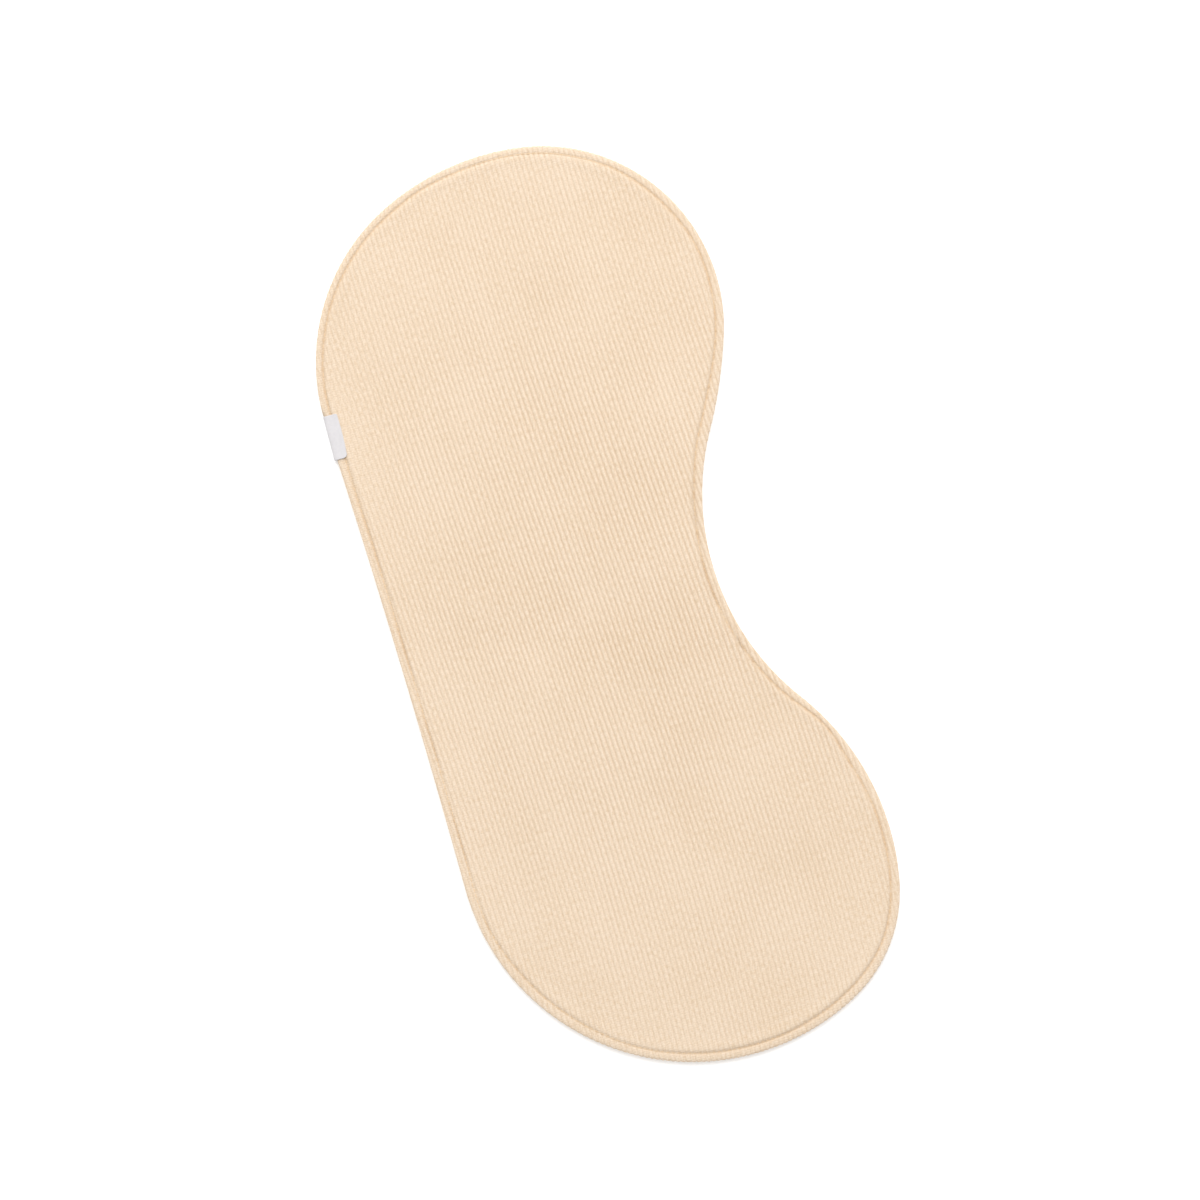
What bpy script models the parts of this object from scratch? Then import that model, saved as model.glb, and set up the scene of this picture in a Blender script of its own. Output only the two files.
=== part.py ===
"""Contoured burp cloth, lying flat.

Two panels of ribbed cotton are sewn together along their edge, turned right side out and topstitched
a few millimetres in, which presses a groove into both faces. The ribs of the front panel run the
length of the cloth and out over its rim. A woven label is folded over the left edge near the upper
end, where the same line of stitches catches it.

Metres, +Z up. The cloth lies on the XY plane with its length along Y, and the hollow that goes
round a neck is on the +X side. The origin is under the middle of the cloth.
"""

import math
from typing import NamedTuple

import bmesh
import bpy
import numpy as np

# All sizes below are in millimetres, and MM turns them to metres where a mesh is made.
MM = 0.001


class Round(NamedTuple):
    """A round stretch of the edge, and the arc that leads on from it, clockwise seen from above."""

    x: float
    y: float
    radius: float  # negative where the edge is hollow
    lead: float  # radius of the arc to the next round stretch, negative where hollow


EDGE = (
    Round(x=0.0, y=139.0, radius=108.5, lead=135.0),  # upper end, left shoulder
    Round(x=16.5, y=152.5, radius=96.5, lead=249.5),  # upper end, right shoulder
    Round(x=201.0, y=1.0, radius=-137.0, lead=138.0),  # neck hollow
    Round(x=31.5, y=-166.5, radius=78.0, lead=125.0),  # lower end, right shoulder
    Round(x=3.5, y=-124.0, radius=117.0, lead=-6000.0),  # lower end, left shoulder, then the back
)
EDGE_STEP = 6.0

# The two panels lie one on the other. Heights are above the surface that the cloth lies on.
BACK_TOP = 1.6
PANEL_GAP = 0.3
FRONT_UNDERSIDE = BACK_TOP + PANEL_GAP

STITCH_INSET = 4.6


class Ring(NamedTuple):
    """Height of a panel's face at one distance in from the edge, and the share of a rib there."""

    inset: float
    height: float
    rib: float


FRONT_FACE = (
    Ring(inset=0.0, height=2.70, rib=0.3),  # seam at the edge
    Ring(inset=1.7, height=3.35, rib=1.0),  # rolled rim
    Ring(inset=STITCH_INSET, height=2.60, rib=0.3),  # groove of the topstitching
    Ring(inset=7.0, height=3.25, rib=1.0),  # field
)
BACK_FACE = (
    Ring(inset=0.0, height=0.55, rib=0.0),
    Ring(inset=1.0, height=0.0, rib=0.0),
    Ring(inset=3.6, height=0.0, rib=0.0),
    Ring(inset=STITCH_INSET, height=0.4, rib=0.0),
    Ring(inset=5.8, height=0.0, rib=0.0),
)

# Ribs of the front panel: about 86 across the cloth.
RIB_PITCH = 2.65
RIB_HEIGHT = 0.45
# The fabric was cut a little off its grain, so the ribs drift sideways along the cloth: their
# slope against Y at the middle of the length, and how it changes towards the ends.
DRIFT_SPAN = 250.0
DRIFT_SLOPE = -0.031
DRIFT_LEAN = -0.022
DRIFT_CURL = 0.089

# The field isn't quite level: soft swells across and along it.
SWELL_HEIGHT = 0.12
SWELL_ACROSS = 170.0
SWELL_ALONG = 260.0
SWELL_TURN = 0.6  # where the swells across start, in radians
SWELL_STARTS = 7.0  # insets between which the swells grow to their full height
SWELL_FULL = 30.0
# Lines across the ribs, where their slow drift and the swells get points of their own.
CROSS_STEP = 80.0

# Label: a strip folded over the edge, with one leg on each face.
LABEL_Y = 130.5
LABEL_LENGTH = 24.0
LABEL_WIDTH = 6.9
LABEL_THICK = 0.35
LABEL_PROUD = 0.85  # its fold stands this far out from the cloth's edge
LABEL_TOP = 4.475
LABEL_FOLD_RADIUS = 0.6
LABEL_FOLD_STEPS = 4
# The back panel is pressed up over the lower leg, with room all round.
PRESS_ROOM = 0.3
PRESS_DEPTH = LABEL_THICK + PRESS_ROOM

# A plane this near a point of the mesh goes through the point.
CUT_SNAP = 0.02

COTTON_FRONT = "#F3DFC3"
COTTON_BACK = "#F0DBBE"
LABEL_WHITE = "#EEEDEB"


def direction(angle):
    """Unit vector at an angle."""
    return np.array([math.cos(angle), math.sin(angle)])


def leading_arc(first, second, radius):
    """The circle of this radius that touches both circles where the edge passes between them.

    Its centre is the difference of the radii away from each centre, on the right of the way
    from the first to the second, or on the left where the arc is hollow.
    """
    (centre_a, radius_a), (centre_b, radius_b) = first, second
    reach_a = abs(radius - radius_a)
    reach_b = abs(radius - radius_b)
    way = centre_b - centre_a
    gap = math.hypot(*way)
    way = way / gap
    along = (reach_a**2 - reach_b**2 + gap**2) / (2 * gap)
    aside = math.copysign(math.sqrt(reach_a**2 - along**2), radius)
    right = np.array([way[1], -way[0]])
    return centre_a + along * way + aside * right, radius


def edge_circles():
    """Every circle that the edge follows, in order: the round stretches and the arcs between."""
    rounds = [(np.array([stretch.x, stretch.y]), stretch.radius) for stretch in EDGE]
    circles = []
    for index, stretch in enumerate(EDGE):
        here = rounds[index]
        following = rounds[(index + 1) % len(rounds)]
        circles.append(here)
        circles.append(leading_arc(here, following, stretch.lead))
    return circles


def meeting_angle(first, second):
    """Angle of the outward direction where the edge leaves one circle for the next."""
    (centre_a, radius_a), (centre_b, radius_b) = first, second
    way = centre_b - centre_a
    share = (radius_a - radius_b) / math.hypot(*way)
    return math.atan2(way[1], way[0]) + math.acos(max(-1.0, min(1.0, share)))


def walk_edge():
    """Points round the edge, about EDGE_STEP apart, and the outward direction at each."""
    circles = edge_circles()
    leaving = [
        meeting_angle(circle, circles[(index + 1) % len(circles)])
        for index, circle in enumerate(circles)
    ]
    points = []
    outward = []
    for index, (centre, radius) in enumerate(circles):
        start = leaving[index - 1]
        turn = (leaving[index] - start + math.pi) % (2 * math.pi) - math.pi
        steps = max(1, math.ceil(abs(turn * radius) / EDGE_STEP))
        for step in range(steps):
            out = direction(start + turn * step / steps)
            points.append(centre + radius * out)
            outward.append(out)
    points = np.array(points)
    middle = (points.min(axis=0) + points.max(axis=0)) / 2
    return points - middle, np.array(outward)


def inset_of(places):
    """Distance of each place from the edge, measured to the nearest of its straight steps."""
    starts = EDGE_POINTS
    runs = np.roll(EDGE_POINTS, -1, axis=0) - starts
    offset = places[:, None] - starts[None]
    share = (offset * runs).sum(axis=2) / (runs * runs).sum(axis=1)
    offset = offset - np.clip(share, 0.0, 1.0)[..., None] * runs
    return np.hypot(offset[..., 0], offset[..., 1]).min(axis=1)


def rib_drift(y):
    """Sideways drift of the ribs at a place along the cloth: the sum of their slope so far."""
    t = y / DRIFT_SPAN
    return DRIFT_SPAN * (DRIFT_SLOPE * t + DRIFT_LEAN * t**2 / 2 + DRIFT_CURL * t**3 / 3)


def rib_wave(x):
    """1 on the crest of each rib, 0 in each valley, and straight between them."""
    phase = (x / RIB_PITCH) % 1.0
    return abs(2.0 * phase - 1.0)


def swell(places, insets):
    """Soft unevenness of the field, which fades out towards the stitches."""
    across = np.sin(2 * math.pi * places[:, 0] / SWELL_ACROSS + SWELL_TURN)
    along = np.sin(2 * math.pi * places[:, 1] / SWELL_ALONG)
    fade = np.clip((insets - SWELL_STARTS) / (SWELL_FULL - SWELL_STARTS), 0.0, 1.0)
    return SWELL_HEIGHT * fade * (across + along) / 2


def flat_rings(face):
    """A flat sheet at no height: bands between the face's rings, and one face inside the last."""
    bm = bmesh.new()
    rings = []
    for ring in face:
        places = EDGE_POINTS - EDGE_OUTWARD * ring.inset
        rings.append([bm.verts.new((x, y, 0.0)) for x, y in places])
    count = len(EDGE_POINTS)
    for outer, inner in zip(rings, rings[1:]):
        for index in range(count):
            after = (index + 1) % count
            bm.faces.new((outer[index], inner[index], inner[after], outer[after]))
    bm.faces.new(rings[-1])
    return bm


def cut_across(bm, place, axis):
    """Cuts every face that the plane through this place crosses, square to the axis (0 X, 1 Y)."""
    point = [0.0, 0.0, 0.0]
    normal = [0.0, 0.0, 0.0]
    point[axis] = place
    normal[axis] = 1.0
    bmesh.ops.bisect_plane(
        bm,
        geom=bm.verts[:] + bm.edges[:] + bm.faces[:],
        dist=CUT_SNAP,
        plane_co=point,
        plane_no=normal,
    )


def face_heights(face, places):
    """Height of the face and share of a rib at each place, read between the face's rings."""
    insets = inset_of(places)
    steps = [ring.inset for ring in face]
    heights = np.interp(insets, steps, [ring.height for ring in face])
    ribs = np.interp(insets, steps, [ring.rib for ring in face])
    return insets, heights, ribs


def close_to(bm, level):
    """Closes an open sheet into a solid: a wall from its rim to this level, and a flat face."""
    rim = [edge for edge in bm.edges if edge.is_boundary]
    wall = bmesh.ops.extrude_edge_only(bm, edges=rim)["geom"]
    for item in wall:
        if isinstance(item, bmesh.types.BMVert):
            item.co.z = level
    new_rim = [edge for edge in bm.edges if edge.is_boundary]
    bmesh.ops.edgeloop_fill(bm, edges=new_rim)
    bmesh.ops.recalc_face_normals(bm, faces=bm.faces[:])


def linear(hex_colour):
    """Linear colour values of an sRGB hex colour."""
    values = [int(hex_colour[i : i + 2], 16) / 255 for i in (1, 3, 5)]
    return [v / 12.92 if v <= 0.04045 else ((v + 0.055) / 1.055) ** 2.4 for v in values]


def fabric(name, colour, roughness):
    """Plain cloth: rough, and no metal."""
    material = bpy.data.materials.new(name)
    material.use_nodes = True
    shader = material.node_tree.nodes["Principled BSDF"]
    shader.inputs["Base Color"].default_value = (*linear(colour), 1.0)
    shader.inputs["Roughness"].default_value = roughness
    shader.inputs["Metallic"].default_value = 0.0
    return material


def make_object(name, bm, material):
    """Puts a mesh made in millimetres into the scene in metres."""
    bmesh.ops.scale(bm, vec=(MM, MM, MM), verts=bm.verts[:])
    mesh = bpy.data.meshes.new(name)
    bm.to_mesh(mesh)
    bm.free()
    if material is not None:
        mesh.materials.append(material)
    made = bpy.data.objects.new(name, mesh)
    bpy.context.scene.collection.objects.link(made)
    return made


def front_panel():
    """Upper panel: rolled rim, stitch groove and a field of ribs, on a flat underside."""
    bm = flat_rings(FRONT_FACE)
    # The cuts are straight, so the sheet is first drawn with the drift of its ribs taken out.
    for vert in bm.verts:
        vert.co.x -= rib_drift(vert.co.y)
    half_width = max(abs(vert.co.x) for vert in bm.verts)
    half_length = max(abs(vert.co.y) for vert in bm.verts)
    lines = math.floor(half_width / (RIB_PITCH / 2))
    for line in range(-lines, lines + 1):
        cut_across(bm, line * RIB_PITCH / 2, axis=0)
    crossings = math.floor(half_length / CROSS_STEP)
    for crossing in range(-crossings, crossings + 1):
        cut_across(bm, crossing * CROSS_STEP, axis=1)
    straight_x = np.array([vert.co.x for vert in bm.verts])
    for vert in bm.verts:
        vert.co.x += rib_drift(vert.co.y)
    places = np.array([vert.co.xy for vert in bm.verts])
    insets, heights, ribs = face_heights(FRONT_FACE, places)
    heights = heights + RIB_HEIGHT * ribs * rib_wave(straight_x) + swell(places, insets)
    for vert, height in zip(bm.verts, heights):
        vert.co.z = height
    close_to(bm, FRONT_UNDERSIDE)
    return make_object("front_panel", bm, fabric("ribbed_cotton_front", COTTON_FRONT, 0.85))


def label_seat():
    """Where the label crosses the edge, and the outward direction there."""
    left = EDGE_OUTWARD[:, 0] < -0.5
    order = np.argsort(EDGE_POINTS[left, 1])
    along = EDGE_POINTS[left, 1][order]
    seat_x = np.interp(LABEL_Y, along, EDGE_POINTS[left, 0][order])
    out_x = np.interp(LABEL_Y, along, EDGE_OUTWARD[left, 0][order])
    out_y = np.interp(LABEL_Y, along, EDGE_OUTWARD[left, 1][order])
    return (seat_x, LABEL_Y), math.atan2(out_y, out_x)


def place_at_seat(made):
    """Turns an object drawn with +X into the cloth, and moves it to the label's seat."""
    (x, y), out_angle = label_seat()
    made.location = (x * MM, y * MM, 0.0)
    made.rotation_euler = (0.0, 0.0, out_angle + math.pi)


def pressed_place():
    """Cutter for the hollow that the label's lower leg presses into the back panel."""
    depth = LABEL_WIDTH + PRESS_ROOM
    middle_x = (depth - 2 * LABEL_PROUD) / 2
    bm = bmesh.new()
    bmesh.ops.create_cube(bm, size=1.0)
    size = (depth, LABEL_LENGTH + 2 * PRESS_ROOM, 2 * PRESS_DEPTH)
    bmesh.ops.scale(bm, vec=size, verts=bm.verts[:])
    bmesh.ops.translate(bm, vec=(middle_x, 0.0, 0.0), verts=bm.verts[:])
    cutter = make_object("pressed_place", bm, None)
    place_at_seat(cutter)
    cutter.hide_render = True
    cutter.display_type = "WIRE"
    return cutter


def back_panel():
    """Lower panel: flat where it lies, with the stitch groove and the label's pressed place."""
    bm = flat_rings(BACK_FACE)
    places = np.array([vert.co.xy for vert in bm.verts])
    _, heights, _ = face_heights(BACK_FACE, places)
    for vert, height in zip(bm.verts, heights):
        vert.co.z = height
    close_to(bm, BACK_TOP)
    made = make_object("back_panel", bm, fabric("ribbed_cotton_back", COTTON_BACK, 0.85))
    press = made.modifiers.new("label_press", "BOOLEAN")
    press.operation = "DIFFERENCE"
    press.solver = "EXACT"
    press.object = pressed_place()
    return made


def label_section():
    """Outline of the folded strip, in the plane square to the edge: +X into the cloth, +Y up."""
    half = LABEL_THICK / 2
    fold_x = -LABEL_PROUD + half + LABEL_FOLD_RADIUS
    free_x = LABEL_WIDTH - LABEL_PROUD
    low = np.array([fold_x, half + LABEL_FOLD_RADIUS])
    high = np.array([fold_x, LABEL_TOP - half - LABEL_FOLD_RADIUS])
    outer = [(free_x, 0.0)]
    inner = [(free_x, LABEL_THICK)]
    quarter = math.pi / 2
    for centre, start in ((low, -quarter), (high, -2 * quarter)):
        for step in range(LABEL_FOLD_STEPS + 1):
            way = direction(start - quarter * step / LABEL_FOLD_STEPS)
            outer.append(tuple(centre + (LABEL_FOLD_RADIUS + half) * way))
            inner.append(tuple(centre + (LABEL_FOLD_RADIUS - half) * way))
    outer.append((free_x, LABEL_TOP))
    inner.append((free_x, LABEL_TOP - LABEL_THICK))
    return outer + inner[::-1]


def label():
    """Woven label: its section drawn at one end and carried along the edge."""
    bm = bmesh.new()
    start = -LABEL_LENGTH / 2
    section = [bm.verts.new((x, start, z)) for x, z in label_section()]
    end = bm.faces.new(section)
    carried = bmesh.ops.extrude_face_region(bm, geom=[end])["geom"]
    moved = [item for item in carried if isinstance(item, bmesh.types.BMVert)]
    bmesh.ops.translate(bm, vec=(0.0, LABEL_LENGTH, 0.0), verts=moved)
    bmesh.ops.recalc_face_normals(bm, faces=bm.faces[:])
    made = make_object("label", bm, fabric("woven_label", LABEL_WHITE, 0.6))
    place_at_seat(made)
    return made


def clear_scene():
    """Removes whatever the scene holds."""
    for thing in list(bpy.data.objects):
        bpy.data.objects.remove(thing, do_unlink=True)


EDGE_POINTS, EDGE_OUTWARD = walk_edge()

clear_scene()
front_panel()
back_panel()
label()
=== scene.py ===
# %% [markdown]
# # A contoured burp cloth
# The real cloth is two layers of ribbed cotton, cut like a kidney and sewn face to face. It is turned
# right side out and topstitched a few millimetres in from its edge, and a small woven tape is folded
# over the edge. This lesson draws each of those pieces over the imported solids, which give its size
# and place. The solids come first, because everything else is measured from them.

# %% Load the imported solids
import math

import bmesh
import bpy
import numpy as np
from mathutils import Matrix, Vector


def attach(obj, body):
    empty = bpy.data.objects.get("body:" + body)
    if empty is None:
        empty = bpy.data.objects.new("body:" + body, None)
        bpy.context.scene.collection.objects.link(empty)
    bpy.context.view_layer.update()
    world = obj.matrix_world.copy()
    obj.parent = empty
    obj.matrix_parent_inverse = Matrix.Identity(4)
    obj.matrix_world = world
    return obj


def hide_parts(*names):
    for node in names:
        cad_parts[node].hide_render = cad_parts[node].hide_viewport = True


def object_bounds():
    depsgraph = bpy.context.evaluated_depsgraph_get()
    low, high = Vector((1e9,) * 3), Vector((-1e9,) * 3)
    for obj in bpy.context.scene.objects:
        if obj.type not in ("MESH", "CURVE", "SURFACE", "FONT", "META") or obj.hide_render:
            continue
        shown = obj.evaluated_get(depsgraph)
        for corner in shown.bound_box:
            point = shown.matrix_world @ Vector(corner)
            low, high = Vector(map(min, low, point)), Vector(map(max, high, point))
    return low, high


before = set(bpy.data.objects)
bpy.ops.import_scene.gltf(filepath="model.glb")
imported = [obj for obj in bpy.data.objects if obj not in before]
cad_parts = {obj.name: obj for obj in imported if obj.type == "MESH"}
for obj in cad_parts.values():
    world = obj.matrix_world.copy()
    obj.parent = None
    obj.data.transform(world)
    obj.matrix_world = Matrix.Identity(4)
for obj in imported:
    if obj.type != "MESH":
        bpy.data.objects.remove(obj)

cad_low, cad_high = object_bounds()
print("solids reach from", tuple(cad_low), "to", tuple(cad_high))

# %% [markdown]
# ## The edge
# Seen from above, the edge is round nearly everywhere: two shoulders at each end, a hollow for the
# neck, and a long back that is almost straight. A pattern cutter would draw it with circles and
# blend them with bigger ones. It could be a Bezier curve drawn by eye, but circles keep the bends
# fair, and the distance in from a circle is exact. That distance shapes the rim and the stitching.

# %% The edge as a row of circles
MM = 0.001  # all sizes are in millimetres, and this turns them to metres when a mesh is made
EDGE = (
    dict(x=0.0, y=139.0, radius=108.5, lead=135.0),  # upper end, left shoulder
    dict(x=16.5, y=152.5, radius=96.5, lead=249.5),  # upper end, right shoulder
    dict(x=201.0, y=1.0, radius=-137.0, lead=138.0),  # neck hollow; a hollow's radius is negative
    dict(x=31.5, y=-166.5, radius=78.0, lead=125.0),  # lower end, right shoulder
    dict(x=3.5, y=-124.0, radius=117.0, lead=-6000.0),  # lower end, left shoulder, then the back
)


def leading_centre(first, second):
    """Centre of the arc that leads from one circle to the next and touches both.

    It lies the difference of the radii from each centre: to the right of the way between them,
    or to the left where the arc is hollow.
    """
    lead = first["lead"]
    start = np.array([first["x"], first["y"]])
    way = np.array([second["x"], second["y"]]) - start
    gap = math.hypot(*way)
    way = way / gap
    reach = abs(lead - first["radius"])
    along = (reach**2 - (lead - second["radius"]) ** 2 + gap**2) / (2 * gap)
    aside = math.copysign(math.sqrt(reach**2 - along**2), lead)
    return start + along * way + aside * np.array([way[1], -way[0]])


centres = []
radii = []
for stretch, following in zip(EDGE, EDGE[1:] + EDGE[:1]):
    centres += [(stretch["x"], stretch["y"]), leading_centre(stretch, following)]
    radii += [stretch["radius"], stretch["lead"]]
centres = np.array(centres)
radii = np.array(radii)

# The outward direction where each circle hands over to the next, and how far each one turns.
ways = np.roll(centres, -1, axis=0) - centres
lean = np.arccos(np.clip((radii - np.roll(radii, -1)) / np.hypot(*ways.T), -1.0, 1.0))
leaving = np.arctan2(ways[:, 1], ways[:, 0]) + lean
starting = np.roll(leaving, 1)
turning = (leaving - starting + math.pi) % (2 * math.pi) - math.pi
print("the edge is", len(radii), "arcs, its longest lead", np.abs(radii).max(), "mm in radius")

# %% Walk round the edge
EDGE_STEP = 0.25


def walk_edge():
    """Points clockwise round the edge: each is its circle's centre plus radius times direction."""
    steps = np.ceil(np.abs(turning * radii) / EDGE_STEP).astype(int)
    which = np.repeat(np.arange(len(radii)), steps)
    share = (np.arange(len(which)) - np.repeat(np.cumsum(steps) - steps, steps)) / steps[which]
    angle = starting[which] + turning[which] * share
    out = np.stack([np.cos(angle), np.sin(angle)], axis=1)
    return centres[which] + radii[which, None] * out, out


edge, outward = walk_edge()
middle = (edge.min(axis=0) + edge.max(axis=0)) / 2
edge = edge - middle
centres = centres - middle


# %% How far in from the edge
def inset_of(x, y):
    """Distance in from the edge: the least of the distances to the arcs that face the place.

    The distance to an arc is the difference between its radius and the distance from its centre,
    and it counts only within the arc's own turn.
    """
    least = np.full(np.shape(x), np.inf)
    for (centre_x, centre_y), radius, start, turn in zip(centres, radii, starting, turning):
        away_x = (x - centre_x) * math.copysign(1.0, radius)
        away_y = (y - centre_y) * math.copysign(1.0, radius)
        angle = np.arctan2(away_y, away_x)
        turned = ((angle - start) * math.copysign(1.0, turn)) % (2 * math.pi)
        distance = np.abs(abs(radius) - np.hypot(away_x, away_y))
        facing = (turned <= abs(turn) + 1e-6) | (turned >= 2 * math.pi - 1e-6)
        least = np.where(facing, np.minimum(least, distance), least)
    return least


print("the middle of the cloth is", round(float(inset_of(np.array(0.0), np.array(0.0)))), "mm in")

# %% [markdown]
# ## The ribs
# The ribs are knitted along the length, 2.65 mm apart. On a cut and sewn cloth they are never quite
# straight: they drift a few millimetres sideways. A bump map could draw them, but the ribs roll over
# the rim and notch the cloth's outline, so they are made in the mesh. Rows of points run along the
# ribs, a few to each rib, which draws a round rib with far fewer points than an even net.

# %% Rib spacing, shape and drift
RIB_PITCH = 2.65
DRIFT_SPAN = 250.0
DRIFT_SLOPE = -0.031
DRIFT_LEAN = -0.022
DRIFT_CURL = 0.089


def rib_drift(y):
    """Sideways drift of the ribs at a place along the cloth: the sum of their slope so far."""
    t = y / DRIFT_SPAN
    return DRIFT_SPAN * (DRIFT_SLOPE * t + DRIFT_LEAN * t**2 / 2 + DRIFT_CURL * t**3 / 3)


def rib_round(u):
    """Section of the ribs: the size of a cosine, which is 1 on a round crest and 0 in a valley."""
    return np.abs(np.cos(math.pi * u / RIB_PITCH))


def soft_noise(x, y, size, seed):
    """Smooth random hills from -1 to 1: random heights on a net of this size, eased between."""
    net = np.random.default_rng(seed).uniform(-1.0, 1.0, (128, 128))
    across, along = x / size + 64.0, y / size + 64.0
    i, j = np.floor(across).astype(int), np.floor(along).astype(int)
    s, t = across - i, along - j
    s, t = s * s * (3 - 2 * s), t * t * (3 - 2 * t)
    i, j = i % 127, j % 127
    low = net[i, j] * (1 - s) + net[i + 1, j] * s
    high = net[i, j + 1] * (1 - s) + net[i + 1, j + 1] * s
    return low * (1 - t) + high * t


# %% Where each rib line meets the edge
edge_u = edge[:, 0] - rib_drift(edge[:, 1])
first = int(np.argmin(edge_u))
edge_u = np.append(np.roll(edge_u, -first), edge_u[first])
edge_y = np.append(np.roll(edge[:, 1], -first), edge[first, 1])
upper_tip = int(np.argmax(np.where(edge_y > 0, edge_u, -np.inf)))
lower_tip = int(np.argmax(np.where(edge_y < 0, edge_u, -np.inf)))
hollow = upper_tip + int(np.argmin(edge_u[upper_tip:lower_tip]))
split_y = edge_y[hollow]
back_end = int(np.argmax(edge_y > split_y))
back_u = float(np.interp(split_y, edge_y[:back_end + 1], edge_u[:back_end + 1]))


def top_of(u):
    """Height along the cloth where a rib line leaves it at the back or the upper end."""
    return np.interp(u, edge_u[:upper_tip + 1], edge_y[:upper_tip + 1])


def bottom_of(u):
    """The same at the lower end."""
    return np.interp(u, edge_u[lower_tip:][::-1], edge_y[lower_tip:][::-1])


def upper_flank(u):
    """The same on the upper side of the neck hollow."""
    return np.interp(u, edge_u[upper_tip:hollow + 1][::-1], edge_y[upper_tip:hollow + 1][::-1])


def lower_flank(u):
    """The same on the lower side of the neck hollow."""
    return np.interp(u, edge_u[hollow:lower_tip + 1], edge_y[hollow:lower_tip + 1])


print("the cloth is drawn as two halves, which meet along", round(float(split_y), 2), "mm")

# %% [markdown]
# ## A net of points on the cloth
# The net has one parameter across the ribs and one along them. Each half of the cloth is one net, and
# the two share the line through the deepest point of the hollow. Rows crowd together towards the
# edge, where the rim and the stitches need them, by a hyperbolic sine. Between two ribs the edge is
# drawn in a little, because a rib that rolls over the rim stands out from the valleys beside it.

# %% Rib lines and rows
SCALLOP = 0.42  # how far the edge is drawn in between two ribs
FIRST_ROW = 0.33  # width of the row at the edge
WOBBLE = 0.16  # the yarn's own unevenness moves the rib lines by this much
WOBBLE_SIZE = 16.0


def crowded(half, rows):
    """Shares from 0 to 1 down a line of this half length, crowded at both ends.

    The share is sinh(k t) / sinh(k), with k such that the first row has the width asked for.
    """
    k_table = np.linspace(0.02, 9.0, 600)
    even = np.maximum(half * 2 / (rows * FIRST_ROW), 1.001)
    k = np.interp(even, np.sinh(k_table) / k_table, k_table)
    t = np.abs(np.linspace(-1.0, 1.0, rows + 1))[:, None]
    side = np.sign(np.linspace(-1.0, 1.0, rows + 1))[:, None]
    near_end = np.sinh(k * (1 - t)) / np.sinh(k)
    return 0.5 + side * 0.5 * (1 - near_end)


def half_net(columns, low, high, low_is_edge, high_is_edge, rows):
    """Points of one half: rows from the low end to the high end of each rib line."""
    pull = np.minimum(SCALLOP * (1 - rib_round(columns)), 0.2 * (high - low))
    low = low + pull * low_is_edge
    high = high - pull * high_is_edge
    share = crowded((high - low) / 2, rows)
    y = low + (high - low) * share
    u = np.broadcast_to(columns, y.shape)
    x = u + rib_drift(y)
    inset = inset_of(x, y)
    # The drawn-in ends are still the edge, so their distance is taken off near them.
    fade_low = np.clip(1 - (y - low) / (6 * SCALLOP), 0, 1) * low_is_edge
    fade_high = np.clip(1 - (high - y) / (6 * SCALLOP), 0, 1) * high_is_edge
    inset = np.maximum(inset - inset[0] * fade_low - inset[-1] * fade_high, 0.0)
    x = x + WOBBLE * soft_noise(u, y, WOBBLE_SIZE, 3) * np.clip(inset / WOBBLE_SIZE, 0, 1)
    return dict(x=x, y=y, u=u, inset=inset)


def cloth_nets(per_rib, rows):
    """The two halves of the cloth, with this many rib lines to a rib and rows to a half."""
    step = RIB_PITCH / per_rib
    lines = np.arange(math.floor(edge_u.min() / step), math.ceil(edge_u.max() / step) + 1) * step
    nets = []
    for upper in (True, False):
        start = back_u if upper else edge_u[0]
        end = edge_u[upper_tip] if upper else edge_u[lower_tip]
        inside = lines[(lines > start + 0.02) & (lines < end - 0.02)]
        columns = np.unique(np.concatenate([inside, [start, back_u, edge_u[hollow], end]]))
        joined = (columns >= back_u) & (columns <= edge_u[hollow])
        if upper:
            low = np.where(joined, split_y, upper_flank(columns))
            nets.append(half_net(columns, low, top_of(columns), ~joined, True, rows))
        else:
            back = np.minimum(top_of(columns), split_y)
            high = np.where(columns <= edge_u[hollow], back, lower_flank(columns))
            nets.append(half_net(columns, bottom_of(columns), high, True, ~joined, rows))
    return nets


front_nets = cloth_nets(per_rib=6, rows=80)
print("front nets", [net["x"].shape for net in front_nets])

# %% [markdown]
# ## Turning nets into closed cloth
# A panel is a closed skin: the face that shows, and a flat face against the other panel. They meet
# along the seam at the edge. Both are made from the same rib lines, so their ends fall on the same
# points and a merge closes the seam.


# %% From arrays to a mesh
def net_quads(rows, columns, first_point=0, turned=False):
    """Quads between neighbouring points of a net, facing up, or down where turned."""
    index = first_point + np.arange(rows * columns).reshape(rows, columns)
    quads = np.stack([index[:-1, :-1], index[:-1, 1:], index[1:, 1:], index[1:, :-1]], axis=-1)
    quads = quads.reshape(-1, 4)
    return quads[:, ::-1] if turned else quads


def make_piece(name, points, faces, material, uv=None, painted_shade=None, merge=0.0):
    """A mesh object at the origin from arrays of points in millimetres and of faces."""
    mesh = bpy.data.meshes.new(name)
    mesh.from_pydata(points * MM, [], faces.tolist())
    corners = faces.reshape(-1)
    if uv is not None:
        layer = mesh.uv_layers.new(name="cloth")
        layer.data.foreach_set("uv", uv[corners].astype(np.float32).ravel())
    if painted_shade is not None:
        attribute = mesh.attributes.new("painted_shade", "FLOAT", "POINT")
        attribute.data.foreach_set("value", painted_shade.astype(np.float32))
    if merge:
        bm = bmesh.new()
        bm.from_mesh(mesh)
        bmesh.ops.remove_doubles(bm, verts=bm.verts[:], dist=merge * MM)
        bm.to_mesh(mesh)
        bm.free()
    mesh.materials.append(material)
    mesh.shade_smooth()
    piece = bpy.data.objects.new(name, mesh)
    bpy.context.scene.collection.objects.link(piece)
    return piece


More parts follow.
